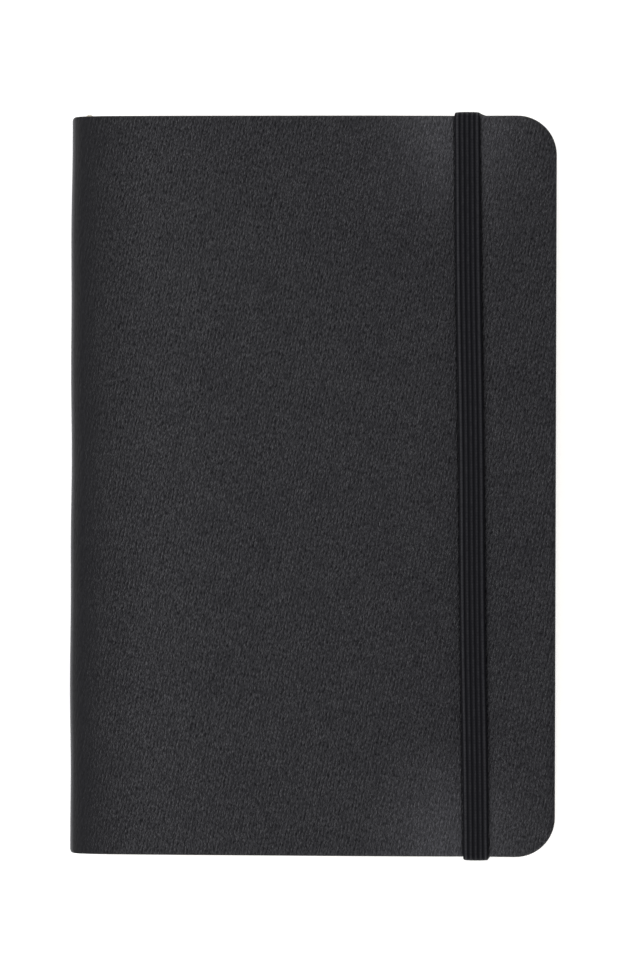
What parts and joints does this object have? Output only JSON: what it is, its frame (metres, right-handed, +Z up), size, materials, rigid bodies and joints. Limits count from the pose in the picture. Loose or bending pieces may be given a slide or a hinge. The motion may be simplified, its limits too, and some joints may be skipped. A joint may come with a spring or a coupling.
{
  "type": "pocket notebook",
  "caption": "Closed pocket notebook with a soft grained cover, sewn sections of blank paper, round fore-edge corners and an elastic closure band round the book near the fore-edge.",
  "frame": {"origin": "on the resting face, under the middle of the closed book's outline", "axes": "+X from the spine to the fore-edge, +Y from the foot to the head of the pages, +Z up from the back cover to the front cover"},
  "size_m": [0.092, 0.1414, 0.0127],
  "materials": {
    "leatherette": "fine pebble grain, satin black",
    "board": "matt dark grey fibre board",
    "endpaper": "matt ivory paper",
    "page": "matt ivory paper",
    "elastic": "ribbed woven elastic, matt black",
    "mull": "open plain-weave cloth",
    "roll": "pale woven roll",
    "thread": "twisted white thread"
  },
  "bodies": {
    "back_cover": {"back_cover_skin": "leatherette", "back_cover_board": "board", "back_pastedown": "endpaper", "back_flyleaf": "endpaper", "band_tail_head": "elastic", "band_tail_foot": "elastic", "signature_03": "page", "signature_04": "page", "signature_05": "page", "signature_06": "page", "signature_07": "page", "signature_08": "page", "signature_09": "page", "signature_10": "page", "signature_11": "page", "signature_12": "page"},
    "spine": {"spine_skin": "leatherette", "spine_liner": "board", "mull_cloth": "mull", "sewing_thread": "thread", "head_band": "roll", "tail_band": "roll"},
    "front_sections": {"front_flyleaf": "endpaper", "signature_01": "page", "signature_02": "page"},
    "front_cover": {"front_cover_skin": "leatherette", "front_cover_board": "board", "front_pastedown": "endpaper"},
    "band": {"band_strand": "elastic", "band_leg_head": "elastic", "band_leg_foot": "elastic"}
  },
  "joints": [
    {"name": "open_pages", "type": "hinge", "parent": "back_cover", "child": "spine", "pos_m": [-0.0454, 0, 0.0006], "axis": [0, -1, 0], "range_deg": [0, 90]},
    {"name": "open_pages_upper_fold", "type": "hinge", "parent": "spine", "child": "front_sections", "pos_m": [-0.0456, 0, 0.0116], "axis": [0, -1, 0], "range_deg": [0, 90]},
    {"name": "front_cover_fold", "type": "hinge", "parent": "front_sections", "child": "front_cover", "pos_m": [-0.04615, 0, 0.01215], "axis": [0, 1, 0], "range_deg": [-178, 0]},
    {"name": "band_pull", "type": "hinge", "parent": "back_cover", "child": "band", "pos_m": [0.042, 0, -0.006], "axis": [0, 1, 0], "range_deg": [0, 72], "stiffness_Nm_per_rad": 0.05, "deforming": ["band_leg_head", "band_leg_foot"]}
  ],
  "couplings": [
    {"joint": "open_pages_upper_fold", "follows": "open_pages", "ratio": 1}
  ]
}
